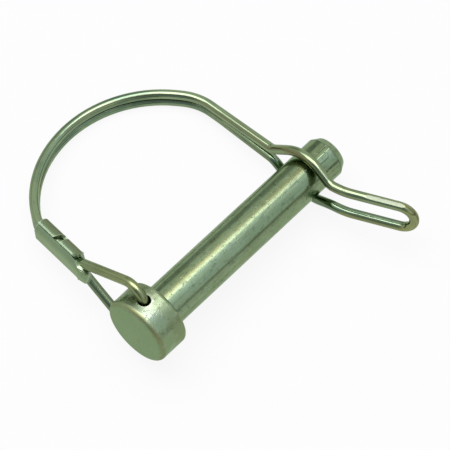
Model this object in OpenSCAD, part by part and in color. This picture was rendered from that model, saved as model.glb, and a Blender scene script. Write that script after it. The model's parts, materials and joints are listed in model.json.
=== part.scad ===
// Double-wire snap pin: a headed pin, a spring-wire bail that swings in a hole
// through the head and snaps over the tip, and a sheet clip round the bail's strands.
// X runs along the pin towards its tip, Z along the hole through the head, and the
// bail's arc stands out towards +Y. The origin is on the axis, under the head.

/* [Pin] */
// Diameter of the shank
shank_d = 9.525; // [7:0.005:13]
// Length of the shank, from the underside of the head to the tip
shank_l = 52.15; // [42:0.05:80]
// Length of the chamfer on the tip
tip_chamfer_l = 1.65; // [0.5:0.05:2.5]
// Depth of the chamfer on the tip, towards the axis
tip_chamfer_depth = 0.9; // [0.3:0.05:1.6]
// Diameter of the head
head_d = 15.3; // [14:0.1:20]
// Length of the head
head_l = 7.4; // [6:0.1:12]
// Rounding of the edge round the head's end face
head_end_r = 1.1; // [0.2:0.05:1.5]
// Rounding of the edge round the head's underside
head_under_r = 0.9; // [0.2:0.05:1.5]
// Diameter of the hole through the head
hole_d = 2.85; // [2.5:0.05:3.5]

/* [Wire] */
// Diameter of the spring wire
wire_d = 2.1; // [1.6:0.05:2.4]
// Gap between the two strands where they run side by side
strand_gap = 0.1; // [0.05:0.01:0.4]
// Distance between the wire's two ends inside the hole
wire_end_gap = 1.2; // [0.6:0.1:3]

/* [Head end of the bail] */
// Height of the bend's corner above a wire that would lie on the head
crook_rise = 3.6; // [2.5:0.1:4.5]
// Radius of the bend into the hole
crook_r = 3.5; // [2.4:0.1:3.6]
// Distance from the side of the head to where the strands meet
fork_gap = 12.65; // [9:0.05:16]
// Offset of that place from the hole, towards the tip
fork_shift = 1.35; // [0:0.05:3]
// Radius of the bend where the strands meet
fork_r = 4; // [2:0.5:6]

/* [Arc of the bail] */
// Height of the arc's crown above the pin's axis
bail_reach = 46.5; // [44:0.5:60]
// Radius of the arc
arc_r = 25; // [16:0.5:25.5]
// Straight length of the strands in the clip
clip_leg = 13.7; // [11:0.1:15]
// Lean of the clip's leg towards the tip, in degrees
clip_lean = 6.9; // [0:0.1:10]
// Radius of the bend above the clip
clip_bend_r = 5; // [2:0.5:6]
// Distance of the arc's first corner from the hole, along the pin
first_corner_x = 9.7; // [8:0.1:14]
// Drop of that corner below the crown
first_corner_drop = 2.55; // [1:0.05:4]
// Distance of the arc's second corner from the eye, along the pin
second_corner_x = 11.6; // [9:0.1:14]
// Rise of that corner above the crown
second_corner_rise = 2.55; // [1:0.05:4]
// Drop of the shoulder above the long leg, below the crown
shoulder_drop = 15.8; // [13:0.1:18]
// Radius of that shoulder
shoulder_r = 12; // [6:0.5:14]

/* [Eye and thumb loop] */
// Distance of the eye from the tip
eye_setback = 7.25; // [5:0.05:12]
// Clearance between the eye's wire and the shank
eye_gap = 0.56; // [0.3:0.01:1]
// Height of the eye's corner above its round crown
eye_crown = 1.2; // [0.8:0.05:1.8]
// Distance from the shank to the crotch where the strands part
crotch_gap = 5.85; // [4.5:0.05:8]
// Length of the leg's last stretch above the crotch
crotch_leg = 6.4; // [4:0.1:9]
// Distance by which the crotch and the heel lie behind the eye
eye_bow = 0.9; // [0:0.1:1.5]
// Radius of the bends at the crotch and the heel
eye_bend_r = 3.5; // [2:0.5:5]
// Distance from the shank to the heel of the thumb loop
heel_gap = 2.65; // [2:0.05:5]
// Length of the thumb loop's neck, from its heel
neck_l = 3.55; // [3:0.05:6]
// Turn of the neck outwards, in degrees
neck_turn = 9; // [0:0.5:20]
// Length of the thumb loop from its neck
loop_l = 15; // [9:0.5:22]
// Inside width of the thumb loop
loop_gap = 4.7; // [3:0.1:7]
// Turn of the thumb loop outwards, in degrees
loop_turn = 22; // [0:0.5:35]
// Radius of the bend between neck and loop
neck_r = 14; // [6:1:20]

/* [Clip] */
// Thickness of the clip's sheet
sheet_t = 0.72; // [0.4:0.02:0.9]
// Clearance between the strands and the clip
clip_play = 0.13; // [0.08:0.01:0.25]
// Length of the clip above the place where the strands meet
clip_l = 12.5; // [9:0.1:13]
// Distance of the tabs' lower end above that place
tab_start = 1.1; // [0.6:0.1:2]
// Distance of the lower fold's end above that place
fold_start = 0.3; // [0.3:0.1:2]
// Length of the tongue on the outer face, below that place
tongue_l = 3.9; // [1:0.1:4.5]
// Height of the tongue's edge on the upper strand, in degrees
lip_angle = 26; // [10:1:27]
// Distance of the edge's sloping part above the place where the strands meet
lip_at = 0.1; // [0:0.05:1]
// Slope of that part, in degrees
lip_slope = 28; // [20:1:45]
// Height on the upper strand, in degrees, of the seam where the tabs end
seam_angle = 58; // [40:1:70]
// Width of the seam
seam_w = 0.2; // [0.1:0.02:0.4]
// Place of the notch between the tabs, from where the strands meet
notch_at = 6.6; // [4:0.1:8]
// Width of the notch at the seam
notch_w = 2.3; // [1:0.1:3]
// Width of the notch on the ridge and behind it
notch_back_w = 1.35; // [0.3:0.05:2]
// Shift of the notch on the ridge, towards the tongue
notch_slant = 0.3; // [0:0.05:0.6]

/* [Hidden] */
$fn = 64;

plating = [0.47, 0.53, 0.43];
wire_plating = [0.50, 0.53, 0.38];
clip_plating = [0.49, 0.56, 0.45];

// Cuts run past what they cut by this much
past = 1;
// Straights are a hair thinner than bends, and run this far into them
hair = 0.01;
join = 0.05;
// Least straight wire between two bends
least_straight = 0.3;

shank_r = shank_d / 2;
head_r = head_d / 2;
wire_r = wire_d / 2;
hole_x = -head_l / 2;
eye_x = shank_l - eye_setback;
// Height of each strand above or below the bail's middle plane
strand_z = (wire_d + strand_gap) / 2;
// Height of the wire's centre line at the crown of the eye
eye_z = shank_r + eye_gap + wire_r;
loop_z = (loop_gap + wire_d) / 2;

// Corners of the upper strand, from its end in the hole to the end of the thumb loop
hole_end = [hole_x, 0, wire_end_gap / 2];
crook = [hole_x, 0, head_r + wire_r + crook_rise];
fork = [hole_x + fork_shift, head_r + fork_gap, strand_z];
clip_axis = [sin(clip_lean), cos(clip_lean), 0];
clip_top = fork + clip_leg * clip_axis;
first_corner = [hole_x + first_corner_x, bail_reach - first_corner_drop, strand_z];
second_corner = [eye_x - second_corner_x, bail_reach + second_corner_rise, strand_z];
shoulder = [eye_x, bail_reach - shoulder_drop, strand_z];
crotch = [eye_x - eye_bow, shank_r + crotch_gap, strand_z];
leg_end = [eye_x, crotch.y + crotch_leg, strand_z];
eye = [eye_x, 0, eye_z + eye_crown];
heel = [eye_x - eye_bow, -shank_r - heel_gap, loop_z];
neck = heel + neck_l * [sin(neck_turn), -cos(neck_turn), 0];
loop_tip = neck + loop_l * [sin(loop_turn), -cos(loop_turn), 0];

// The eye's bend is as round as its crown over the shank asks
eye_r = eye_crown / (1 / cos(turn_at(crotch, eye, heel) / 2) - 1);

// Each corner of the upper strand with its bend radius
upper_strand = [
    [hole_end, 0],
    [crook, crook_r],
    [fork, fork_r],
    [clip_top, clip_bend_r],
    [first_corner, arc_r],
    [second_corner, arc_r],
    [shoulder, shoulder_r],
    [leg_end, eye_bend_r],
    [crotch, eye_bend_r],
    [eye, eye_r],
    [heel, eye_bend_r],
    [neck, neck_r],
    [loop_tip, loop_z]
];
half = len(upper_strand);
last = 2 * half - 1;
// The whole wire: the upper strand, and back to the hole along its mirror image
wire = [for (i = [0 : last]) i < half ? upper_strand[i] : mirrored(upper_strand[last - i])];

function unit(v) = v / norm(v);
function mirrored(p) = [[p[0].x, p[0].y, -p[0].z], p[1]];
// Angle by which a path through three points turns at the middle one
function turn_at(a, b, c) = acos(max(-1, min(1, unit(b - a) * unit(c - b))));
function corner(i) = wire[i][0];
function way(i) = unit(corner(i + 1) - corner(i));
function stretch(i) = norm(corner(i + 1) - corner(i));
function bend_turn(i) = turn_at(corner(i - 1), corner(i), corner(i + 1));
// Length that a bend takes from each of its two stretches, as wished and as there is room for
function wish(i) = i == 0 || i == last ? 0 : wire[i][1] * tan(bend_turn(i) / 2);
function room(i) = min(1, (stretch(i) - least_straight) / (wish(i) + wish(i + 1)));
function taken(i) = i == 0 || i == last ? 0 : wish(i) * min(room(i - 1), room(i));
function bend_r(i) = taken(i) / tan(bend_turn(i) / 2);

// Places its children with their X, Y and Z axes along the three given directions
module placed(origin, x_way, y_way, z_way) {
    multmatrix([
        [x_way.x, y_way.x, z_way.x, origin.x],
        [x_way.y, y_way.y, z_way.y, origin.y],
        [x_way.z, y_way.z, z_way.z, origin.z],
        [0, 0, 0, 1]
    ])
        children();
}

// Round bar of radius r between two points
module bar(a, b, r) {
    z_way = unit(b - a);
    side = abs(z_way.z) < 0.9 ? [0, 0, 1] : [1, 0, 0];
    x_way = unit(cross(side, z_way));
    placed(a, x_way, cross(z_way, x_way), z_way)
        cylinder(h = norm(b - a), r = r);
}

// Straight wire between corners i and i + 1, from bend to bend and a little way into each
module wire_stretch(i) {
    start = i == 0 ? 0 : taken(i) - join;
    end = i == last - 1 ? 0 : taken(i + 1) - join;
    bar(corner(i) + start * way(i), corner(i + 1) - end * way(i), wire_r - hair);
}

// Round bend at corner i
module wire_bend(i) {
    axis = unit(cross(way(i - 1), way(i)));
    inwards = cross(axis, way(i - 1));
    start = corner(i) - taken(i) * way(i - 1);
    placed(start + bend_r(i) * inwards, -inwards, way(i - 1), axis)
        rotate_extrude(angle = bend_turn(i))
            translate([bend_r(i), 0])
                circle(r = wire_r);
}

module wire_bail() {
    color(wire_plating) {
        for (i = [0 : last - 1])
            wire_stretch(i);
        for (i = [1 : last - 1])
            wire_bend(i);
    }
}

// Half section of the head, with both edges rounded
module head_section() {
    translate([0, head_end_r])
        square([head_r, head_l - head_end_r - head_under_r]);
    square([head_r - head_end_r, head_l]);
    translate([0, head_l - head_under_r])
        square([head_r - head_under_r, head_under_r]);
    translate([head_r - head_end_r, head_end_r])
        circle(r = head_end_r);
    translate([head_r - head_under_r, head_l - head_under_r])
        circle(r = head_under_r);
}

module pin() {
    color(plating)
        rotate([0, 90, 0])
            difference() {
                union() {
                    translate([0, 0, -head_l])
                        rotate_extrude()
                            head_section();
                    cylinder(h = shank_l - tip_chamfer_l, r = shank_r);
                    translate([0, 0, shank_l - tip_chamfer_l])
                        cylinder(h = tip_chamfer_l, r1 = shank_r, r2 = shank_r - tip_chamfer_depth);
                }
                translate([0, 0, hole_x])
                    rotate([0, 90, 0])
                        cylinder(h = head_d + 2 * past, d = hole_d, center = true);
            }
}

// Half round of sheet over the upper strand
module half_round(inner_r, length) {
    translate([0, strand_z, 0])
        rotate_extrude(angle = 180)
            translate([inner_r, 0])
                square([sheet_t, length]);
}

// Notch between the tabs: wide at the seam, narrow on the ridge and behind it
module tab_notch(outer_r) {
    half_chord = outer_r * sin((90 - seam_angle) / 2);
    half_w = notch_w / 2;
    half_back = notch_back_w / 2;
    rotate([0, 0, (seam_angle - 90) / 2])
        rotate([-90, 0, 0])
            linear_extrude(height = outer_r + past)
                polygon([
                    [-outer_r - past, notch_slant - half_back],
                    [-half_chord, notch_slant - half_back],
                    [half_chord, -half_w],
                    [half_chord + past, -half_w],
                    [half_chord + past, half_w],
                    [half_chord, half_w],
                    [-half_chord, notch_slant + half_back],
                    [-outer_r - past, notch_slant + half_back]
                ]);
}

// Cut below the tabs, from the seam round to the back
module tab_end_cut(outer_r) {
    rotate([0, 0, seam_angle])
        translate([-outer_r - past, 0, -tongue_l - past])
            cube([2 * (outer_r + past), outer_r + past, tongue_l + past + tab_start]);
}

// Cut along the tongue's edge: level beside the parting strand, then sloping up to the tabs
module lip_cut(outer_r) {
    middle = (lip_angle + seam_angle) / 2;
    mean_r = outer_r - sheet_t / 2;
    low_end = lip_at - mean_r * sin(middle - lip_angle) / tan(lip_slope);
    rotate([0, 0, lip_angle])
        translate([0, 0, -tongue_l - past])
            cube([outer_r + past, outer_r + past, tongue_l + past + low_end]);
    intersection() {
        rotate([0, 0, middle])
            translate([0, 0, lip_at])
                rotate([-lip_slope, 0, 0])
                    translate([0, 0, -tongue_l])
                        cube([outer_r + past, outer_r + past, tongue_l + tab_start + past]);
        translate([0, -outer_r, low_end - join])
            cube([outer_r + past, 2 * outer_r + past, tab_start - low_end + join]);
    }
}

// The clip along Z, its outer face towards +X and the upper strand towards +Y
module clip_along_z() {
    inner_r = wire_r + clip_play;
    outer_r = inner_r + sheet_t;
    difference() {
        union() {
            translate([0, 0, -tongue_l])
                half_round(inner_r, clip_l + tongue_l);
            mirror([0, 1, 0])
                translate([0, 0, fold_start])
                    half_round(inner_r, clip_l - fold_start);
            translate([-outer_r, -strand_z, tab_start])
                cube([sheet_t, 2 * strand_z, clip_l - tab_start]);
            translate([inner_r, -strand_z, -tongue_l])
                cube([sheet_t, 2 * strand_z, clip_l + tongue_l]);
        }
        translate([0, strand_z, 0]) {
            rotate([0, 0, seam_angle])
                translate([0, -seam_w / 2, -tongue_l - past])
                    cube([outer_r + past, seam_w, clip_l + tongue_l + 2 * past]);
            tab_end_cut(outer_r);
            lip_cut(outer_r);
            translate([0, 0, notch_at])
                intersection() {
                    tab_notch(outer_r);
                    rotate([0, 0, seam_angle])
                        translate([-past, 0, -notch_w])
                            cube([outer_r + 2 * past, outer_r + 2 * past, 2 * notch_w]);
                }
        }
    }
}

module ferrule() {
    color(clip_plating)
        placed([fork.x, fork.y, 0], cross([0, 0, 1], clip_axis), [0, 0, 1], clip_axis)
            clip_along_z();
}

pin();
wire_bail();
ferrule();
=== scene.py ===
"""Looks of the double-wire snap pin: plated steel on a plain white floor, under one soft box."""

import json
import math

import bpy
from mathutils import Matrix, Vector

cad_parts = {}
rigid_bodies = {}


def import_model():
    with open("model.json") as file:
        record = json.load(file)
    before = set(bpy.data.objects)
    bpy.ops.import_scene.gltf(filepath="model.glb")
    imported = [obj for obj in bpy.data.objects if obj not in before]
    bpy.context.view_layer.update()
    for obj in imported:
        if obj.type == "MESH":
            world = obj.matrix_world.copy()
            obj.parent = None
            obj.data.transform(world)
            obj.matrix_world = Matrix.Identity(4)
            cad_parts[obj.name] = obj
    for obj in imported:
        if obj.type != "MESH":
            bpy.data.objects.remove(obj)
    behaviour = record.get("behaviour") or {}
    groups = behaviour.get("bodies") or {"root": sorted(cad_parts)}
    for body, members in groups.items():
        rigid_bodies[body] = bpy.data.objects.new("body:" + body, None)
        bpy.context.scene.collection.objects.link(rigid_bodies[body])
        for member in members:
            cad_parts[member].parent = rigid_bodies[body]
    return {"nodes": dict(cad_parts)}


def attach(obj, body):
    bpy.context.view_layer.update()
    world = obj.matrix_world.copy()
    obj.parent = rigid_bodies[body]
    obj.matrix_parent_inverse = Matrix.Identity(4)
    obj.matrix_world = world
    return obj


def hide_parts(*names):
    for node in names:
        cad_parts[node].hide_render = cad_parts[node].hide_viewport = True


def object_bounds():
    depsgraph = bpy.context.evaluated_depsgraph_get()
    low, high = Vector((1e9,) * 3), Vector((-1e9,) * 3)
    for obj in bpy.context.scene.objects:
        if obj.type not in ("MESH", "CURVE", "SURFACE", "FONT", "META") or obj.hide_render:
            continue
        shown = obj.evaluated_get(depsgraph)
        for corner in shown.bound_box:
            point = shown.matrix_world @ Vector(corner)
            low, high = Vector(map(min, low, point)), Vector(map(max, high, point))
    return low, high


for left_over in list(bpy.data.objects):
    bpy.data.objects.remove(left_over)

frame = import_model()
cad_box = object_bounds()
nodes = frame["nodes"]
scene = bpy.context.scene

MM = 0.001


# Camera: the photograph's viewing angle, without lens shift

VIEW_AZIMUTH = math.radians(-40.2)
VIEW_ELEVATION = math.radians(55.3)
VIEW_ROLL = math.radians(-8.1)
VIEW_DISTANCE = 600 * MM
AIM_RIGHT = 13.18 * MM
AIM_UP = 17.30 * MM
LENS = 237.0
SENSOR = 36.0
SEEN_FROM, SEEN_TO = 0.01, 20

to_camera = Vector((
    math.sin(VIEW_AZIMUTH) * math.cos(VIEW_ELEVATION),
    -math.cos(VIEW_AZIMUTH) * math.cos(VIEW_ELEVATION),
    math.sin(VIEW_ELEVATION),
))
level_right = Vector((math.cos(VIEW_AZIMUTH), math.sin(VIEW_AZIMUTH), 0))
level_up = to_camera.cross(level_right)
view_right = level_right * math.cos(VIEW_ROLL) + level_up * math.sin(VIEW_ROLL)
view_up = level_up * math.cos(VIEW_ROLL) - level_right * math.sin(VIEW_ROLL)


def facing(place, aim, up):
    """Matrix of an object at place whose -Z axis points at aim."""
    back = (place - aim).normalized()
    right = up.cross(back).normalized()
    turn = Matrix((right, back.cross(right), back)).transposed()
    return Matrix.Translation(place) @ turn.to_4x4()


camera_data = bpy.data.cameras.new("camera")
camera_data.sensor_width = SENSOR
camera_data.lens = LENS
camera_data.clip_start = SEEN_FROM
camera_data.clip_end = SEEN_TO
camera = bpy.data.objects.new("camera", camera_data)
scene.collection.objects.link(camera)
camera.matrix_world = facing(
    to_camera * VIEW_DISTANCE, view_right * AIM_RIGHT + view_up * AIM_UP, view_up
)
scene.camera = camera


# Floor: it touches the part where it rests, below the head, the eye and the arc

FLOOR_RADIUS = 160 * MM
FLOOR_SIDES = 96
# Limits of the wire's parts at the head, at the eye and at the arc's crown
HEAD_X, HEAD_Y = 10 * MM, 15 * MM
EYE_X, EYE_Y = 38 * MM, 6 * MM
ARC_Y = 38 * MM
SETTLING_STEPS = 12


def lowest(points, way):
    """The point that lies least far along a direction."""
    return min(points, key=lambda p: p.dot(way))


def rest_plane():
    """Normal of the floor and a point on it, from the three places where the part rests."""
    points = [v.co.copy() for v in nodes["wire_bail"].data.vertices]
    head = [p for p in points if p.x < HEAD_X and p.y < HEAD_Y]
    eye = [p for p in points if p.x > EYE_X and abs(p.y) < EYE_Y]
    arc = [p for p in points if p.y > ARC_Y]
    up = Vector((0, 0, 1))
    for _ in range(SETTLING_STEPS):
        a, b, c = (lowest(group, up) for group in (head, eye, arc))
        up = (b - a).cross(c - a).normalized()
        if up.z < 0:
            up = -up
    return up, a


def disc(name, centre, up, radius, sides):
    """A flat round face across the direction up."""
    side = up.orthogonal().normalized()
    other = up.cross(side)
    turns = [2 * math.pi * i / sides for i in range(sides)]
    corners = [centre + radius * (math.cos(t) * side + math.sin(t) * other) for t in turns]
    mesh = bpy.data.meshes.new(name)
    mesh.from_pydata(corners, [], [range(sides)])
    made = bpy.data.objects.new(name, mesh)
    scene.collection.objects.link(made)
    return made


floor_up, floor_point = rest_plane()
middle = (cad_box[0] + cad_box[1]) / 2
floor_centre = middle - floor_up * (middle - floor_point).dot(floor_up)
floor = disc("floor", floor_centre, floor_up, FLOOR_RADIUS, FLOOR_SIDES)


# Node trees


class Tree:
    """Short ways to make and join the nodes of a material or world."""

    def __init__(self, owner):
        owner.use_nodes = True
        self.tree = owner.node_tree
        self.tree.nodes.clear()

    def node(self, kind, inputs=None, **settings):
        made = self.tree.nodes.new(kind)
        for key, value in settings.items():
            setattr(made, key, value)
        for key, value in (inputs or {}).items():
            self.put(made.inputs[key], value)
        return made

    def put(self, socket, value):
        if isinstance(value, bpy.types.NodeSocket):
            self.tree.links.new(value, socket)
        else:
            socket.default_value = value

    def math(self, operation, *values):
        made = self.node("ShaderNodeMath", operation=operation)
        for socket, value in zip(made.inputs, values):
            self.put(socket, value)
        return made.outputs[0]

    def dot(self, a, b):
        made = self.node("ShaderNodeVectorMath", {0: a, 1: b}, operation="DOT_PRODUCT")
        return made.outputs["Value"]

    def ramp(self, fac, stops):
        """Eased levels of grey, each at its place."""
        made = self.node("ShaderNodeValToRGB", {"Fac": fac})
        made.color_ramp.interpolation = "EASE"
        elements = made.color_ramp.elements
        while len(elements) < len(stops):
            elements.new(0.5)
        for element, (place, level) in zip(elements, stops):
            element.position = place
            element.color = (level, level, level, 1)
        return made.outputs["Color"]

    def times(self, *values):
        """Product of fields and numbers."""
        total = values[0]
        for value in values[1:]:
            total = self.math("MULTIPLY", total, value)
        return total

    def layered(self, *layers, base=0.0):
        """Sum of fields, each times its own weight, on a base."""
        total = base
        for field, weight in layers:
            total = self.math("MULTIPLY_ADD", field, weight, total)
        return total

    def reverse(self, field):
        return self.math("SUBTRACT", 1.0, field)

    def length(self, a, b):
        squares = [(self.math("POWER", value, 2.0), 1.0) for value in (a, b)]
        return self.math("SQRT", self.layered(*squares))

    def span(self, value, low, high, to_low=0.0, to_high=1.0, smooth=True):
        """Rises from to_low at low to to_high at high; low may be the larger one."""
        made = self.node(
            "ShaderNodeMapRange",
            {"Value": value, "From Min": low, "From Max": high, "To Min": to_low, "To Max": to_high},
            interpolation_type="SMOOTHSTEP" if smooth else "LINEAR",
        )
        return made.outputs["Result"]

    def band(self, value, rise, full, fade, end):
        """Rises from rise to full, and falls from fade to end."""
        return self.times(self.span(value, rise, full), self.span(value, end, fade))

    def close_to(self, value, place, outer, inner):
        """One within inner of a place, nothing beyond outer."""
        off = self.math("ABSOLUTE", self.math("SUBTRACT", value, place))
        return self.span(off, outer, inner)

    def mix(self, fac, a, b, blend="MIX"):
        made = self.node("ShaderNodeMix", data_type="RGBA", blend_type=blend)
        self.put(made.inputs["Factor"], fac)
        for socket, value in zip((s for s in made.inputs if s.type == "RGBA"), (a, b)):
            self.put(socket, (*value, 1) if isinstance(value, tuple) else value)
        return next(s for s in made.outputs if s.type == "RGBA")

    def paint(self, colour, tint, *shares):
        """The colour with a tint over it, by the product of the shares."""
        return self.mix(self.times(*shares), colour, tint)

    def noise(self, vector, scale, detail, rough):
        made = self.node(
            "ShaderNodeTexNoise",
            {"Vector": vector, "Scale": scale, "Detail": detail, "Roughness": rough},
        )
        return made.outputs["Fac"]

    def attribute(self, name):
        return self.node("ShaderNodeAttribute", attribute_name=name).outputs

    def scaled(self, vector, scale, move=(0.0, 0.0, 0.0)):
        made = self.node("ShaderNodeMapping", {"Vector": vector, "Scale": scale, "Location": move})
        return made.outputs["Vector"]


# World: white to the camera, a plain room in reflections, dimmer or brighter on some sides

WHITE = (1, 1, 1, 1)
AMBIENT = 0.24
# Height from straight down to straight up, and the room's level there
ROOM = [(0.0, 1.0), (0.46, 1.0), (0.52, 0.9), (0.60, 1.0), (0.93, 1.0), (0.98, 1.7)]
# Azimuth and distance from the zenith in degrees, inner and outer angle, and the colour left there
TINTED_SIDES = [
    (294, 27, 6, 24, (1.75, 1.7, 1.85)),
    (302, 50, 10, 42, (0.97, 1.03, 1.22)),
    (64, 62, 6, 20, (0.42, 0.45, 0.44)),
    (205, 62, 14, 46, (0.34, 0.41, 0.52)),
]
# A dim strip low on the near side: its height, half height and core as sines, its azimuth, the cosines
# over which it fades sideways, and the level left in it
STRIP_HEIGHT, STRIP_HALF, STRIP_CORE = 0.0, 0.17, 0.02
STRIP_AZIMUTH = -68
STRIP_FADE = (0.3, 0.8)
STRIP_LEFT = 0.40


def toward(azimuth, from_zenith):
    """Direction by its azimuth and its angle from straight up, in degrees."""
    a, z = math.radians(azimuth), math.radians(from_zenith)
    return Vector((math.sin(z) * math.cos(a), math.sin(z) * math.sin(a), math.cos(z)))


world = bpy.data.worlds.new("studio")
scene.world = world
w = Tree(world)
direction = w.node("ShaderNodeTexCoord").outputs["Generated"]
height = w.dot(direction, (0.0, 0.0, 1.0))
room = w.ramp(w.math("MULTIPLY_ADD", height, 0.5, 0.5), ROOM)
for azimuth, from_zenith, inner, outer, left in TINTED_SIDES:
    near = w.dot(direction, tuple(toward(azimuth, from_zenith)))
    dim = w.span(near, math.cos(math.radians(outer)), math.cos(math.radians(inner)))
    room = w.mix(dim, room, w.mix(1.0, room, left, "MULTIPLY"))
sideways = w.dot(direction, tuple(toward(STRIP_AZIMUTH, 90)))
in_strip = w.close_to(height, STRIP_HEIGHT, STRIP_HALF, STRIP_CORE)
dim = w.times(in_strip, w.span(sideways, *STRIP_FADE))
level = w.span(dim, 0.0, 1.0, 1.0, STRIP_LEFT, smooth=False)
rays = w.node("ShaderNodeLightPath").outputs
seen = w.node("ShaderNodeBackground", {"Color": WHITE, "Strength": 1.0})
mirrored = w.node("ShaderNodeBackground", {"Color": room, "Strength": level})
ambient = w.node("ShaderNodeBackground", {"Color": WHITE, "Strength": AMBIENT})
glossy = rays["Is Glossy Ray"]
lit = w.node("ShaderNodeMixShader", {0: glossy, 1: ambient.outputs[0], 2: mirrored.outputs[0]})
see_through = w.math("MAXIMUM", rays["Is Camera Ray"], rays["Is Transmission Ray"])
both = w.node("ShaderNodeMixShader", {0: see_through, 1: lit.outputs[0], 2: seen.outputs[0]})
w.node("ShaderNodeOutputWorld", {"Surface": both.outputs[0]})


# Floor's material: paper that is mostly plain white where it is seen or mirrored

FLOOR_GLOW = 0.90
FLOOR_PAPER = (0.92, 0.92, 0.92, 1)

white = bpy.data.materials.new("white_floor")
m = Tree(white)
rays = m.node("ShaderNodeLightPath").outputs
paper = m.node("ShaderNodeBsdfDiffuse", {"Color": FLOOR_PAPER})
glow = m.node("ShaderNodeEmission", {"Color": WHITE, "Strength": 1.0})
mirrored_rays = m.math("MAXIMUM", rays["Is Glossy Ray"], rays["Is Transmission Ray"])
shown = m.math("MAXIMUM", rays["Is Camera Ray"], mirrored_rays)
share = m.times(shown, FLOOR_GLOW)
surface = m.node("ShaderNodeMixShader", {0: share, 1: paper.outputs[0], 2: glow.outputs[0]})
m.node("ShaderNodeOutputMaterial", {"Surface": surface.outputs[0]})
floor.data.materials.append(white)


# Lamp


def soft_box(name, place, half_long, half_short, turn_deg, distance, radiance, colour):
    """Lamp overhead; its place and half sizes are for a distance of one."""
    lamp = bpy.data.lights.new(name, "AREA")
    lamp.shape = "RECTANGLE"
    lamp.size = 2 * half_long * distance
    lamp.size_y = 2 * half_short * distance
    lamp.energy = radiance * math.pi * lamp.size * lamp.size_y
    lamp.color = colour
    made = bpy.data.objects.new(name, lamp)
    scene.collection.objects.link(made)
    turn = Matrix.Rotation(math.radians(turn_deg), 4, "Z")
    made.matrix_world = Matrix.Translation(middle + Vector((*place, 1.0)) * distance) @ turn
    made.visible_camera = False


soft_box(
    "soft_box",
    place=(-0.0780, 0.0613),
    half_long=0.555,
    half_short=0.361,
    turn_deg=125,
    distance=1.4,
    radiance=3.8,
    colour=(1.0, 0.90, 1.08),
)


# Wire: one smooth tube, in millimetres, on the CAD's route, but its strands part earlier before the eye

WIRE_R = 1.05
WIRE_SIDES = 40
# Longest step on a straight and round a bend
STEP = 0.6
STEP_TURN = math.radians(4)
# Least straight between two bends, and how far the eye's top bend stays below its corner
LEAST_STRAIGHT = 0.3
EYE_CROWN = 1.2
# Corners of the upper strand, from its end in the head to the end of the loop, and their bend radii
UPPER_STRAND = [
    ((-3.7, 0.0, 0.6), 0.0),
    ((-3.7, 0.0, 12.3), 3.5),
    ((-2.35, 20.3, 1.1), 4.0),
    ((-0.7041, 33.9008, 1.1), 5.0),
    ((6.0, 43.95, 1.1), 25.0),
    ((33.3, 49.05, 1.1), 25.0),
    ((44.9, 30.7, 1.1), 12.0),
    ((44.8, 24.0, 1.1), 30.0),
    ((44.3, 8.9, 1.66), 3.0),
    ((44.3, 4.6, 5.0), 6.0),
    ((44.9, 0.0, 7.5725), None),
    ((44.0, -7.4125, 3.4), 3.5),
    ((44.5553, -10.9188, 3.4), 14.0),
    ((50.1744, -24.8266, 3.4), 3.4),
]
# The flat that a tool pressed on the loop's upper strand: its ends along Y, the way it faces and its depth
FLAT_FROM, FLAT_TO = -15.3, -22.6
FLAT_FACES = Vector((-0.22, -0.20, 0.955))
FLAT_DEPTH = 0.09
# The inside of the arc faces this point
BAIL_MIDDLE = Vector((22.0, 20.0, 0.0))


def centre_line():
    """Points along the whole wire, in order: the upper strand, and back along its mirror image."""
    corners = [Vector(place) for place, _ in UPPER_STRAND]
    radii = [radius for _, radius in UPPER_STRAND]
    corners += [Vector((c.x, c.y, -c.z)) for c in reversed(corners)]
    radii += list(reversed(radii))
    last = len(corners) - 1
    way = [(corners[i + 1] - corners[i]).normalized() for i in range(last)]
    stretch = [(corners[i + 1] - corners[i]).length for i in range(last)]
    turn = [0.0] + [way[i - 1].angle(way[i]) for i in range(1, last)] + [0.0]
    for i, radius in enumerate(radii):
        if radius is None:
            radii[i] = EYE_CROWN / (1 / math.cos(turn[i] / 2) - 1)
    wish = [radii[i] * math.tan(turn[i] / 2) for i in range(last + 1)]
    room_for = [min(1, (stretch[i] - LEAST_STRAIGHT) / (wish[i] + wish[i + 1])) for i in range(last)]
    taken = [0.0] + [wish[i] * min(room_for[i - 1], room_for[i]) for i in range(1, last)] + [0.0]
    points = []

    def straight(a, b):
        steps = max(1, math.ceil((b - a).length / STEP))
        points.extend(a.lerp(b, k / steps) for k in range(steps))

    here = corners[0]
    for i in range(1, last):
        begin = corners[i] - way[i - 1] * taken[i]
        straight(here, begin)
        radius = taken[i] / math.tan(turn[i] / 2)
        axis = way[i - 1].cross(way[i]).normalized()
        centre = begin + axis.cross(way[i - 1]) * radius
        steps = max(2, math.ceil(turn[i] / STEP_TURN))
        for k in range(steps):
            points.append(centre + Matrix.Rotation(turn[i] * k / steps, 3, axis) @ (begin - centre))
        here = corners[i] + way[i] * taken[i]
    straight(here, corners[last])
    points.append(corners[last])
    return points


def flattened(out, point, along):
    """Offset of the skin from the centre line, pressed in on the flat, and how much of its depth."""
    if point.z > 0 and FLAT_TO < point.y < FLAT_FROM:
        normal = (FLAT_FACES - along * FLAT_FACES.dot(along)).normalized()
        over = out.dot(normal) - (WIRE_R - FLAT_DEPTH)
        if over > 0:
            return out - normal * over, over / FLAT_DEPTH
    return out, 0.0


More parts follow.
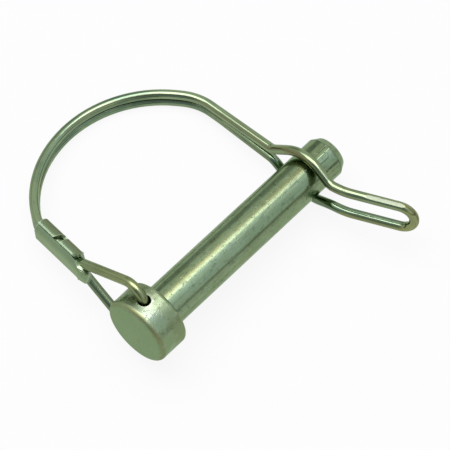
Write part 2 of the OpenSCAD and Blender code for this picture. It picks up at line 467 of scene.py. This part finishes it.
def swept_wire(name):
    """The wire's tube, which stores its place along and round the wire, its flat and its inner side."""
    points = centre_line()
    vertices, places, pressed, inner, faces = [], [], [], [], []
    side = Vector((1, 0, 0))
    run = 0.0
    count = len(points)
    for i, point in enumerate(points):
        along = (points[min(i + 1, count - 1)] - points[max(i - 1, 0)]).normalized()
        side = (side - along * side.dot(along)).normalized()
        other = along.cross(side)
        run += (point - points[max(i - 1, 0)]).length
        inwards = (BAIL_MIDDLE - point).normalized()
        for k in range(WIRE_SIDES):
            turn = 2 * math.pi * k / WIRE_SIDES
            way = math.cos(turn) * side + math.sin(turn) * other
            out, share = flattened(WIRE_R * way, point, along)
            vertices.append((point + out) * MM)
            places.append((WIRE_R * math.cos(turn), WIRE_R * math.sin(turn), run))
            pressed.append(share)
            inner.append(way.dot(inwards))
    for i in range(count - 1):
        for k in range(WIRE_SIDES):
            a, b = i * WIRE_SIDES + k, i * WIRE_SIDES + (k + 1) % WIRE_SIDES
            faces.append((a, b, b + WIRE_SIDES, a + WIRE_SIDES))
    faces.append(list(range(WIRE_SIDES))[::-1])
    faces.append([(count - 1) * WIRE_SIDES + k for k in range(WIRE_SIDES)])
    mesh = bpy.data.meshes.new(name)
    mesh.from_pydata(vertices, [], faces)
    mesh.polygons.foreach_set("use_smooth", [len(face) == 4 for face in faces])
    stored = mesh.attributes.new("along_wire", "FLOAT_VECTOR", "POINT")
    stored.data.foreach_set("vector", [value for place in places for value in place])
    for label, values in (("pressed", pressed), ("inner_side", inner)):
        mesh.attributes.new(label, "FLOAT", "POINT").data.foreach_set("value", values)
    made = bpy.data.objects.new(name, mesh)
    scene.collection.objects.link(made)
    return made


bent_wire = swept_wire("bent_wire")
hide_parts("wire_bail")
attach(bent_wire, "bail")


# Clip: one sheet folded round both strands, in millimetres

SHEET_T = 0.72
# Radius of the sheet's middle round a strand, and the height of a strand's centre
SHEET_R = 1.54
STRAND_Z = 1.1
CLIP_FOOT = Vector((-2.35, 20.3, 0.0))
CLIP_LEAN = math.radians(6.9)
CLIP_TOP = 12.5
SEAM_OUTER, SEAM_TAB = math.radians(62), math.radians(66)
COLUMN = 0.12
ROWS_BELOW, ROWS_NOTCH, ROWS_ABOVE = 18, 3, 14
CUT_ROUNDING, CUT_STEPS = 0.17, 3
CUT_ANGLE = math.radians(40)
# Along the section from the seam, down the outer face and round to the tabs: height of the lower edge
LOWER_EDGE = [
    (0.0, 0.0), (0.30, -0.65), (0.46, -1.05), (0.60, -1.5), (0.70, -2.0), (0.76, -2.6), (0.80, -3.2),
    (0.88, -3.8), (1.05, -4.2), (1.34, -4.5), (1.67, -4.65), (2.22, -4.7), (2.77, -4.55), (3.32, -4.1),
    (3.87, -3.1), (4.27, -1.9), (4.81, -0.8), (5.48, 0.0), (6.29, 0.3), (8.70, 0.3), (9.80, 0.8),
    (10.9, 1.0), (11.71, 0.7), (12.52, 0.25), (13.32, 0.4), (13.97, 0.75),
]
# The notch between the tabs: where it begins along the section, and its lower and upper edge
NOTCH_FROM = 11.12
NOTCH_LOW = [(11.0, 5.45), (12.5, 5.4), (13.97, 5.6)]
NOTCH_HIGH = [(11.0, 6.7), (12.5, 6.8), (13.2, 7.1), (13.97, 7.6)]
# Flare of the lower edge on the tongue's lip and on the tabs, its reach, and where they end and begin
LIP_FLARE, LIP_REACH, LIP_END = 0.12, 1.3, 4.5
TAB_FLARE, TAB_REACH, TAB_START = 0.10, 0.8, 11.0
# The tongue's upper part leans in over the gap where the strands part
LEAN_FROM, LEAN_TO, LEAN_TURN, LEAN_FOOT = -1.8, -4.4, math.radians(42), 2.6


def between(table, at):
    """Value of a table of places and values at one place."""
    if at <= table[0][0]:
        return table[0][1]
    for (a, low), (b, high) in zip(table, table[1:]):
        if at <= b:
            return low + (high - low) * (at - a) / (b - a)
    return table[-1][1]


def round_strand(strand_z, turn):
    """Point and outward direction on the sheet's middle, turned round a strand."""
    out = Vector((math.cos(turn), math.sin(turn)))
    return Vector((0, strand_z)) + SHEET_R * out, out


def section(run):
    """Point and outward direction on the sheet's middle, run along it from the seam."""
    arc = SHEET_R * SEAM_OUTER
    if run < arc:
        return round_strand(STRAND_Z, SEAM_OUTER - run / SHEET_R)
    run -= arc
    if run < 2 * STRAND_Z:
        return Vector((SHEET_R, STRAND_Z - run)), Vector((1, 0))
    run -= 2 * STRAND_Z
    if run < SHEET_R * math.pi:
        return round_strand(-STRAND_Z, -run / SHEET_R)
    run -= SHEET_R * math.pi
    if run < 2 * STRAND_Z:
        return Vector((-SHEET_R, run - STRAND_Z)), Vector((-1, 0))
    return round_strand(STRAND_Z, math.pi - (run - 2 * STRAND_Z) / SHEET_R)


def leaning(run, height, at, out):
    """The section's point and outward direction, leant inwards on the tongue's upper part."""
    share = min(1.0, max(0.0, (height - LEAN_FROM) / (LEAN_TO - LEAN_FROM)))
    if run >= LEAN_FOOT or share == 0:
        return at, out
    turn = LEAN_TURN * share * share * (3 - 2 * share)
    foot, _ = section(LEAN_FOOT)
    cos, sin = math.cos(turn), math.sin(turn)
    arm = at - foot
    return (
        foot + Vector((arm.x * cos - arm.y * sin, arm.x * sin + arm.y * cos)),
        Vector((out.x * cos - out.y * sin, out.x * sin + out.y * cos)),
    )


def lifted(run, above):
    """How far the sheet flares outwards, at a height above its lower edge."""
    if LIP_END <= run <= TAB_START:
        return 0.0
    flare, reach = (LIP_FLARE, LIP_REACH) if run < LIP_END else (TAB_FLARE, TAB_REACH)
    return flare * max(0.0, 1 - above / reach) ** 2


def folded_clip(name):
    """The clip's sheet from seam to tabs, with its notch, its thickness and rounded cut edges."""
    axis = Vector((math.sin(CLIP_LEAN), math.cos(CLIP_LEAN), 0))
    up = Vector((0, 0, 1))
    outer = up.cross(axis)
    length = SHEET_R * (SEAM_OUTER + 2 * math.pi - SEAM_TAB) + 4 * STRAND_Z
    columns = math.ceil(length / COLUMN)
    runs = [length * i / columns for i in range(columns + 1)]
    rows = ROWS_BELOW + ROWS_NOTCH + ROWS_ABOVE
    vertices, edge_near, faces = [], [], []
    for i, run in enumerate(runs):
        low = between(LOWER_EDGE, run)
        notch_low, notch_high = between(NOTCH_LOW, run), between(NOTCH_HIGH, run)
        heights = [low + (notch_low - low) * j / ROWS_BELOW for j in range(ROWS_BELOW)]
        heights += [notch_low + (notch_high - notch_low) * j / ROWS_NOTCH for j in range(ROWS_NOTCH)]
        heights += [notch_high + (CLIP_TOP - notch_high) * j / ROWS_ABOVE for j in range(ROWS_ABOVE + 1)]
        at, out = section(run)
        for j, height in enumerate(heights):
            leant, leant_out = leaning(run, height, at, out)
            place = leant + leant_out * lifted(run, height - low)
            vertices.append((CLIP_FOOT + outer * place.x + up * place.y + axis * height) * MM)
            by_notch = run >= NOTCH_FROM and ROWS_BELOW <= j <= ROWS_BELOW + ROWS_NOTCH
            edge_near.append(1.0 if i in (0, columns) or j in (0, rows) or by_notch else 0.0)
    for i in range(columns):
        for j in range(rows):
            if runs[i] >= NOTCH_FROM and ROWS_BELOW <= j < ROWS_BELOW + ROWS_NOTCH:
                continue
            a, b = i * (rows + 1) + j, (i + 1) * (rows + 1) + j
            faces.append((a, a + 1, b + 1, b))
    mesh = bpy.data.meshes.new(name)
    mesh.from_pydata(vertices, [], faces)
    stored = mesh.attributes.new("edge_near", "FLOAT", "POINT")
    stored.data.foreach_set("value", edge_near)
    mesh.polygons.foreach_set("use_smooth", [True] * len(faces))
    made = bpy.data.objects.new(name, mesh)
    scene.collection.objects.link(made)
    thick = made.modifiers.new("thick", "SOLIDIFY")
    thick.thickness = SHEET_T * MM
    thick.offset = 0.0
    thick.use_even_offset = True
    bevel = made.modifiers.new("softened", "BEVEL")
    bevel.width = CUT_ROUNDING * MM
    bevel.segments = CUT_STEPS
    bevel.limit_method = "ANGLE"
    bevel.angle_limit = CUT_ANGLE
    bevel.harden_normals = True
    return made


sheet_clip = folded_clip("sheet_clip")
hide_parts("ferrule")
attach(sheet_clip, "bail")


# Plated steel: its regions are in millimetres of the part's frame, its marks are noise

SAGE = (0.190, 0.264, 0.138)
PALE = (0.225, 0.305, 0.172)
OLIVE = (0.232, 0.262, 0.105)
YELLOW = (0.265, 0.285, 0.115)
TEAL = (0.125, 0.205, 0.132)
DARK = (0.085, 0.120, 0.070)
# Near black, for the painted shade between the strands
SHADE_DARK = (0.030, 0.040, 0.024)
GREY = (0.196, 0.248, 0.122)
SLATE = (0.090, 0.128, 0.070)
BROWN = (0.150, 0.130, 0.056)
FACED = (0.172, 0.262, 0.128)
TAN = (0.205, 0.220, 0.098)
SILVER = (0.290, 0.330, 0.255)
WORN = (0.46, 0.53, 0.40)
PRESSED = (0.200, 0.232, 0.165)
# The tint that the plating takes on where it is seen edge on
EDGE = (0.72, 0.80, 0.68, 1)
PER_MM = 1 / MM
# Places along the pin: its two end faces, the cross hole, and the ring at the chamfer
FACE_X, HOLE_X, TIP_X = -7.4, -3.7, 52.15
TIP_RING_X = 50.45
# Dark lines round the tip, the turn of the first one, and of the tan line from there, a painted reflection
# beside the highlight along the shank
TIP_LINES = 14
FIRST_LINE_TURN = math.radians(99)
FRINGE_TURN = math.radians(2)


def steel(t, colour, rough, height):
    """Closes a tree with plated steel; height is the bump's, in millimetres."""
    bump = t.node("ShaderNodeBump", {"Strength": 1.0, "Distance": MM, "Height": height})
    shader = t.node("ShaderNodeBsdfPrincipled", {
        "Base Color": colour,
        "Metallic": 1.0,
        "Roughness": rough,
        "Specular Tint": EDGE,
        "Normal": bump.outputs[0],
    })
    t.node("ShaderNodeOutputMaterial", {"Surface": shader.outputs[0]})


def coordinates(t):
    """Object coordinates in millimetres, and their parts."""
    place = t.node("ShaderNodeTexCoord").outputs["Object"]
    in_mm = t.scaled(place, (PER_MM,) * 3)
    return in_mm, t.node("ShaderNodeSeparateXYZ", {0: in_mm}).outputs


def pin_steel():
    """Headed bar: drawn lines along the shank, pits and stains, a beaten drum for a head."""
    made = bpy.data.materials.new("pin_steel")
    t = Tree(made)
    in_mm, part = coordinates(t)
    x, y, z = part["X"], part["Y"], part["Z"]

    # Its regions
    from_axis = t.length(y, z)
    from_hole = t.length(t.math("SUBTRACT", x, HOLE_X), y)
    on_shank = t.span(x, -0.05, 0.05)
    on_face = t.span(x, FACE_X + 0.2, FACE_X + 0.02)
    on_drum = t.math("SUBTRACT", t.reverse(on_shank), on_face)
    on_tip_face = t.span(x, TIP_X - 0.15, TIP_X - 0.03)
    on_side = t.math("SUBTRACT", on_shank, on_tip_face)
    on_end = t.math("ADD", on_face, on_tip_face)
    rim = t.times(t.span(from_axis, 6.3, 7.0), t.span(x, -6.1, -6.7), t.reverse(on_face))
    under_rim = t.times(t.span(from_axis, 6.5, 7.1), t.span(x, -1.0, -0.4))
    hole_rim = t.times(t.span(from_hole, 2.2, 1.55), on_drum)
    drum_back = t.times(on_drum, t.span(x, -4.6, -2.4))
    tip_side = t.band(x, 45.5, 46.5, 50.3, 50.6)
    tip_rim = t.close_to(x, TIP_X - 0.05, 0.3, 0.05)
    before_tip = t.span(x, 45.0, 42.0)

    # Marks that it carries, with a painted reflection beside the highlight and a painted highlight round
    # the hole
    ring = t.node("ShaderNodeCombineXYZ", {"X": from_axis, "Y": x})
    rings = t.noise(ring.outputs[0], 2.4, 3, 0.6)
    cloud = t.noise(in_mm, 0.16, 4, 0.6)
    dents = t.noise(t.scaled(in_mm, (0.20, 0.55, 0.55)), 1.0, 2, 0.5)
    drawn = t.noise(t.scaled(in_mm, (0.045, 2.2, 2.2)), 1.0, 5, 0.7)
    lines = t.noise(t.scaled(in_mm, (0.03, 3.4, 3.4), (7.0, 3.0, 5.0)), 1.0, 3, 0.6)
    tip = t.noise(t.scaled(in_mm, (0.5, 0.9, 0.9)), 1.0, 2, 0.5)
    fine = t.noise(t.scaled(in_mm, (0.35, 6.0, 6.0)), 1.0, 3, 0.6)
    grain = t.noise(in_mm, 3.4, 4, 0.65)
    pits = t.span(t.noise(t.scaled(in_mm, (0.6, 1.0, 1.0)), 1.7, 3, 0.6), 0.61, 0.70)
    stain = t.span(t.noise(t.scaled(in_mm, (0.22, 1.0, 1.0)), 0.5, 4, 0.65), 0.54, 0.72)
    patch = t.span(t.noise(in_mm, 0.75, 4, 0.7), 0.50, 0.68)
    mottle = t.noise(t.scaled(in_mm, (0.6, 1.0, 1.0), (3.0, 8.0, 1.0)), 1.2, 4, 0.7)
    mottle = t.span(mottle, 0.52, 0.66)
    turn = t.math("SUBTRACT", t.math("ARCTAN2", z, y), FIRST_LINE_TURN)
    spokes = t.span(t.math("COSINE", t.times(turn, TIP_LINES)), 0.86, 0.98)
    tip_lines = t.times(spokes, t.span(tip, 0.36, 0.52), tip_side)
    tip_ring = t.times(t.close_to(x, TIP_RING_X, 0.32, 0.1), t.span(mottle, 0.0, 1.0, 0.6, 1.0))
    # A tan line along the shank just beside the highlight: a painted reflection
    painted_fringe = t.times(t.close_to(turn, FRINGE_TURN, 0.20, 0.06), on_shank, before_tip)
    # Paler, greyer metal round the hole on the drum: partly wear, partly a painted highlight that whitens
    # the gleam falling there, with less of it on the drum's back
    worn_and_sheen_top = t.times(t.span(from_hole, 6.5, 2.5), on_drum, t.span(rim, 1.0, 0.0))
    worn_and_sheen_top = t.times(worn_and_sheen_top, t.span(drum_back, 0.0, 1.0, 1.0, 0.25))
    edges = t.math("MAXIMUM", hole_rim, t.times(under_rim, patch))

    # Colour, from the ground up
    colour = t.mix(t.span(cloud, 0.38, 0.66), SAGE, PALE)
    colour = t.paint(colour, FACED, on_end, 0.6)
    colour = t.paint(colour, TEAL, t.span(drawn, 0.47, 0.66), on_side, 0.45)
    colour = t.paint(colour, BROWN, t.span(lines, 0.56, 0.66), on_side, 0.4)
    # Painted reflection: the tan line beside the highlight
    colour = t.paint(colour, TAN, painted_fringe, t.span(drawn, 0.38, 0.56, 0.3, 0.75))
    colour = t.paint(colour, DARK, tip_lines, 0.75)
    colour = t.paint(colour, DARK, tip_ring, 0.75)
    colour = t.paint(colour, WORN, tip_rim, 0.35)
    colour = t.paint(colour, DARK, mottle, on_side, 0.5)
    colour = t.paint(colour, OLIVE, stain, 0.45)
    colour = t.paint(colour, TAN, rim, t.span(cloud, 0.40, 0.58, 0.35, 0.8))
    colour = t.paint(colour, TAN, drum_back, t.span(cloud, 0.40, 0.58, 0.2, 0.4))
    # Wear and painted highlight round the hole
    colour = t.paint(colour, SILVER, worn_and_sheen_top, t.span(patch, 0.0, 1.0, 0.35, 0.75))
    colour = t.paint(colour, DARK, pits, t.layered((on_face, -0.45), base=0.6))
    colour = t.paint(colour, WORN, edges, 0.4)
    colour = t.paint(colour, WORN, patch, on_drum, 0.12)

    # Gloss and relief
    rough = t.layered(
        (grain, 0.12), (pits, 0.14), (on_end, 0.10), (on_drum, 0.05),
        (drum_back, 0.10), (rim, 0.22), (tip_side, -0.14), base=0.13,
    )
    even = t.span(x, 44.0, 47.0, 1.0, 0.25)
    axial = t.layered((drawn, 0.007), (fine, 0.004), (dents, 0.028), (grain, -0.002))
    axial = t.times(axial, on_side, even)
    beaten = t.times(on_drum, t.layered((patch, 0.018), (dents, 0.025)))
    height = t.layered(
        (axial, 1.0), (beaten, 1.0), (t.times(on_end, rings), 0.012),
        (t.times(grain, even), 0.006), (pits, -0.016), (tip_lines, -0.02),
    )
    steel(t, colour, rough, height)
    return made


def wire_steel():
    """Spring wire: drawn lines along it, olive near the head and the loop, teal round the arc."""
    made = bpy.data.materials.new("wire_steel")
    t = Tree(made)
    in_mm, part = coordinates(t)
    x, y, z = part["X"], part["Y"], part["Z"]

    # Its regions
    near_head = t.times(t.span(y, 22.0, 13.0), t.span(x, 14.0, 6.0), t.span(z, -1.0, 1.5, 0.35, 1.0))
    near_eye = t.times(t.span(y, 14.0, 4.0), t.span(x, 30.0, 38.0))
    loop_end = t.times(t.span(y, -20.0, -25.0), near_eye)
    upper_eye = t.times(near_eye, t.span(z, -1.5, 1.0))
    lower_eye = t.math("SUBTRACT", near_eye, upper_eye)
    lower_loop = t.times(lower_eye, t.span(y, -8.0, -11.0))
    neck, end = (Vector(place) for place, _ in UPPER_STRAND[-2:])
    loop_side = Vector((0, 0, 1)).cross((end - neck).normalized())
    across = t.layered((x, loop_side.x), (y, loop_side.y), base=-neck.dot(loop_side))
    # Slate on the lower strand between the loop and the arc, darker than the upper strand
    below = t.times(t.span(z, -0.4, -1.6), t.band(y, -11.0, -6.0, 12.0, 26.0))
    # A dark line on the lower strand's top beside the upper strand, on the leg by the clip: painted shade
    # in the gap between the strands
    painted_gap_shade = t.times(t.span(y, 22.0, 24.0), t.span(z, 0.3, 0.0), t.span(z, -0.50, -0.26))
    # A brown line on the arc's upper strand just below the highlight: a painted reflection
    painted_reflection_line = t.band(t.attribute("inner_side")["Fac"], 0.40, 0.52, 0.66, 0.82)
    painted_reflection_line = t.times(painted_reflection_line, t.span(z, 0.4, 1.0), t.span(x, 14.0, 26.0))
    pressed = t.span(t.attribute("pressed")["Fac"], 0.05, 0.4)

    # Marks that it carries
    along = t.attribute("along_wire")["Vector"]
    cloud = t.noise(in_mm, 0.10, 4, 0.6)
    grain = t.noise(in_mm, 2.6, 4, 0.65)
    drawn = t.noise(t.scaled(along, (2.2, 2.2, 0.05)), 1.0, 4, 0.7)
    lines = t.noise(t.scaled(along, (3.0, 3.0, 0.04), (4.0, 9.0, 2.0)), 1.0, 3, 0.6)
    marks = t.span(t.noise(t.scaled(along, (1.6, 1.6, 1.0)), 1.0, 3, 0.6), 0.60, 0.70)

    # Colour, from the ground up
    colour = t.mix(t.span(cloud, 0.44, 0.70), PALE, TEAL)
    colour = t.paint(colour, OLIVE, near_head, 0.65)
    colour = t.paint(colour, GREY, upper_eye, 0.6)
    colour = t.paint(colour, TEAL, lower_eye, 0.35)
    # On the loop's lower strand, a light yellow band on the side that faces the head and a dark slate band
    # over its top and the side away from the head: painted reflections
    colour = t.paint(colour, YELLOW, lower_loop, t.span(across, -0.50, -0.80), 0.8)
    colour = t.paint(colour, SLATE, lower_loop, t.span(across, -0.1, 0.4), 0.6)
    colour = t.paint(colour, YELLOW, loop_end, 0.6)
    colour = t.paint(colour, DARK, t.span(drawn, 0.50, 0.62), 0.45)
    brown = t.layered((upper_eye, 0.25), (lower_eye, -0.4), base=0.55)
    colour = t.paint(colour, BROWN, t.span(lines, 0.53, 0.62), brown)
    colour = t.paint(colour, SLATE, below, 0.6)
    # Painted reflection: the brown line below the highlight
    colour = t.paint(colour, BROWN, painted_reflection_line, 0.6)
    # Painted shade between the strands
    colour = t.paint(colour, SHADE_DARK, painted_gap_shade, 0.6)
    colour = t.paint(colour, DARK, marks, 0.35)
    colour = t.paint(colour, PRESSED, pressed, 0.8)

    # Gloss and relief
    rough = t.layered((grain, 0.09), (near_head, 0.15), (pressed, 0.30), base=0.09)
    height = t.layered((drawn, 0.012), (grain, 0.004), (marks, -0.006))
    steel(t, colour, rough, height)
    return made


def clip_steel():
    """Sheet clip: rolled sheet with a few scuffs, brown inside the tabs, paler along its cut edges."""
    made = bpy.data.materials.new("clip_steel")
    t = Tree(made)
    in_mm, part = coordinates(t)
    x, y, z = part["X"], part["Y"], part["Z"]

    # Its regions
    lean = math.tan(CLIP_LEAN)
    inward = t.layered((x, 1.0), (y, -lean), base=CLIP_FOOT.y * lean - CLIP_FOOT.x)
    inner_tab = t.times(t.span(inward, -0.3, 0.6), t.span(z, 1.2, 2.2))
    on_top = t.span(z, 1.4, 2.6)
    cut = t.span(t.attribute("edge_near")["Fac"], 0.25, 0.8)

    # Marks that it carries
    cloud = t.noise(in_mm, 0.25, 4, 0.6)
    grain = t.noise(in_mm, 3.0, 4, 0.65)
    rolled = t.noise(t.scaled(in_mm, (3.0, 0.25, 3.0)), 1.0, 4, 0.65)
    scuffs = t.span(t.noise(in_mm, 1.4, 4, 0.65), 0.58, 0.70)

    # Colour, from the ground up
    colour = t.mix(t.span(cloud, 0.28, 0.54), SAGE, PALE)
    colour = t.paint(colour, OLIVE, t.span(rolled, 0.5, 0.70), 0.40)
    colour = t.paint(colour, TEAL, on_top, 0.45)
    colour = t.paint(colour, BROWN, inner_tab, 0.4)
    colour = t.paint(colour, DARK, scuffs, 0.35)
    colour = t.paint(colour, WORN, cut, 0.3)

    # Gloss and relief
    rough = t.layered((grain, 0.12), (cut, 0.2), base=0.14)
    height = t.layered((rolled, 0.010), (grain, 0.008), (scuffs, -0.006))
    steel(t, colour, rough, height)
    return made


def dress(piece, material):
    """Gives a piece one material in place of those that it has."""
    slots = piece.data.materials
    slots.clear()
    slots.append(material)


dress(nodes["pin"], pin_steel())
dress(bent_wire, wire_steel())
dress(sheet_clip, clip_steel())


scene.view_settings.view_transform = "Standard"
